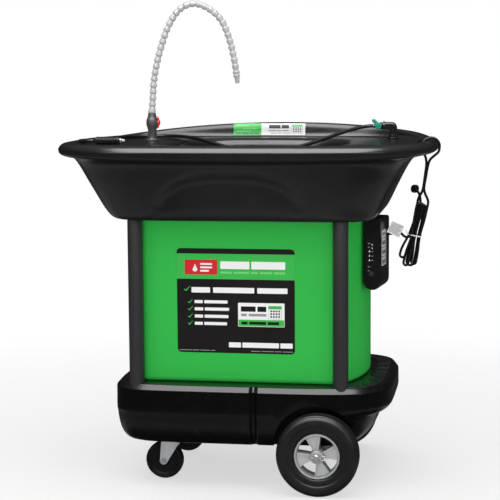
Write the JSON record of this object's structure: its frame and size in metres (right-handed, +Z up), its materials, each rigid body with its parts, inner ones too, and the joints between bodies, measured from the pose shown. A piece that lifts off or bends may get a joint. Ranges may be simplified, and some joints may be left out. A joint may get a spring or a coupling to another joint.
{
  "type": "parts washer tank",
  "caption": "Wheeled parts washer: a sink with a bendable faucet arm and a brush on a hose, over a green fluid tank between posts, with a control box and a tied power cord.",
  "frame": {"origin": "on the floor, below the middle of the sink", "axes": "+Z up, +X along the sink towards the two big wheels and the control box, -Y towards the user"},
  "size_m": [0.9588, 0.6032, 1.2109],
  "materials": {
    "black_shell": "satin",
    "tank_green": "satin",
    "post_black": "satin",
    "tyre_rubber": "matte",
    "hub_grey": "satin",
    "zinc_steel": "satin",
    "bright_steel": "polished",
    "caster_black": "satin",
    "valve_grey": "satin",
    "lever_red": "gloss",
    "lever_teal": "satin",
    "arm_grey": "satin",
    "hose_black": "satin",
    "box_black": "satin",
    "cord_black": "satin",
    "tag_silver": "satin",
    "grate_grey": "matte",
    "mat_white": "matte",
    "pump_blue": "satin",
    "pipe_clear": "satin"
  },
  "bodies": {
    "stand": {"base_shell": "black_shell", "tank_body": "tank_green", "post_front_left": "post_black", "post_front_right": "post_black", "post_rear_left": "post_black", "post_rear_right": "post_black", "sink_basin": "black_shell", "filter_mat": "mat_white", "pump_body": "pump_blue", "manifold_tee": "valve_grey", "faucet_supply_pipe": "pipe_clear", "brush_supply_pipe": "pipe_clear", "heater_element": "bright_steel", "level_stem": "bright_steel", "drain_plug": "valve_grey", "faucet_valve_body": "valve_grey", "hose_elbow": "hose_black", "brush_valve_body": "hose_black", "brush_hose": "hose_black", "brush_handle": "hose_black", "brush_nozzle": "bright_steel", "control_box_body": "box_black", "control_box_cover": "box_black", "cord_strain_relief": "cord_black", "power_cord_lead": "cord_black", "power_cord_hank": "cord_black", "power_cord_loop": "cord_black", "power_cord_tail": "cord_black", "power_plug": "cord_black", "cord_tag": "tag_silver", "axle": "zinc_steel", "axle_bracket_front": "zinc_steel", "axle_bracket_rear": "zinc_steel", "cotter_pin_front": "bright_steel", "cotter_pin_rear": "bright_steel", "caster_plate_front": "zinc_steel", "caster_plate_rear": "zinc_steel"},
    "wheel_front": {"tyre_front": "tyre_rubber", "hub_front": "hub_grey"},
    "wheel_rear": {"tyre_rear": "tyre_rubber", "hub_rear": "hub_grey"},
    "caster_front": {"caster_fork_front": "zinc_steel", "caster_bolt_front": "bright_steel"},
    "caster_rear": {"caster_fork_rear": "zinc_steel", "caster_bolt_rear": "bright_steel"},
    "caster_roller_front": {"caster_wheel_front": "caster_black"},
    "caster_roller_rear": {"caster_wheel_rear": "caster_black"},
    "faucet_handle": {"faucet_lever": "lever_red"},
    "brush_valve_handle": {"brush_valve_lever": "lever_teal"},
    "arm_1": {"arm_section_1": "arm_grey"},
    "arm_2": {"arm_section_2": "arm_grey"},
    "arm_3": {"arm_section_3": "arm_grey"},
    "arm_4": {"arm_section_4": "arm_grey"},
    "arm_5": {"arm_section_5": "arm_grey"},
    "arm_tip": {"arm_nozzle": "arm_grey"},
    "button": {"power_button": "post_black"},
    "grate": {"sink_grate": "grate_grey"},
    "float": {"level_float": "pipe_clear"}
  },
  "joints": [
    {"name": "wheel_front_roll", "type": "hinge", "parent": "stand", "child": "wheel_front", "pos_m": [0.202, -0.257, 0.1016], "axis": [0, 1, 0], "continuous": true},
    {"name": "wheel_rear_roll", "type": "hinge", "parent": "stand", "child": "wheel_rear", "pos_m": [0.202, 0.257, 0.1016], "axis": [0, 1, 0], "continuous": true},
    {"name": "caster_front_swivel", "type": "hinge", "parent": "stand", "child": "caster_front", "pos_m": [-0.183, -0.143, 0.1], "axis": [0, 0, 1], "continuous": true},
    {"name": "caster_rear_swivel", "type": "hinge", "parent": "stand", "child": "caster_rear", "pos_m": [-0.183, 0.143, 0.1], "axis": [0, 0, 1], "continuous": true},
    {"name": "caster_front_roll", "type": "hinge", "parent": "caster_front", "child": "caster_roller_front", "pos_m": [-0.204, -0.143, 0.048], "axis": [0, 1, 0], "continuous": true},
    {"name": "caster_rear_roll", "type": "hinge", "parent": "caster_rear", "child": "caster_roller_rear", "pos_m": [-0.204, 0.143, 0.048], "axis": [0, 1, 0], "continuous": true},
    {"name": "faucet_lever_turn", "type": "hinge", "parent": "stand", "child": "faucet_handle", "pos_m": [-0.268, 0.04, 0.897], "axis": [1, 0, 0], "range_deg": [0, 90]},
    {"name": "brush_valve_turn", "type": "hinge", "parent": "stand", "child": "brush_valve_handle", "pos_m": [0.314, 0.15, 0.884], "axis": [0, 1, 0], "range_deg": [-45, 45]},
    {"name": "arm_swivel", "type": "hinge", "parent": "stand", "child": "arm_1", "pos_m": [-0.268, 0.04, 0.9228], "axis": [0, 0, 1], "range_deg": [-170, 170]},
    {"name": "arm_bend_1", "type": "hinge", "parent": "arm_1", "child": "arm_2", "pos_m": [-0.25891, 0.04, 1.02118], "axis": [0, 1, 0], "range_deg": [-15, 15]},
    {"name": "arm_bend_2", "type": "hinge", "parent": "arm_2", "child": "arm_3", "pos_m": [-0.23321, 0.04, 1.1165], "axis": [0, 1, 0], "range_deg": [-15, 15]},
    {"name": "arm_bend_3", "type": "hinge", "parent": "arm_3", "child": "arm_4", "pos_m": [-0.17826, 0.04, 1.19585], "axis": [0, 1, 0], "range_deg": [-15, 15]},
    {"name": "arm_bend_4", "type": "hinge", "parent": "arm_4", "child": "arm_5", "pos_m": [-0.09022, 0.04, 1.16891], "axis": [0, 1, 0], "range_deg": [-15, 15]},
    {"name": "arm_bend_5", "type": "hinge", "parent": "arm_5", "child": "arm_tip", "pos_m": [-0.05684, 0.04, 1.09447], "axis": [0, 1, 0], "range_deg": [-15, 15]},
    {"name": "power_button_press", "type": "slide", "parent": "stand", "child": "button", "axis": [0.125, 0.9922, 0], "range_m": [0, 0.001], "stiffness_N_per_m": 200},
    {"name": "grate_lift", "type": "slide", "parent": "stand", "child": "grate", "axis": [0, 0, 1], "range_m": [0, 0.085]},
    {"name": "float_rise", "type": "slide", "parent": "stand", "child": "float", "axis": [0, 0, 1], "range_m": [0, 0.12]}
  ]
}
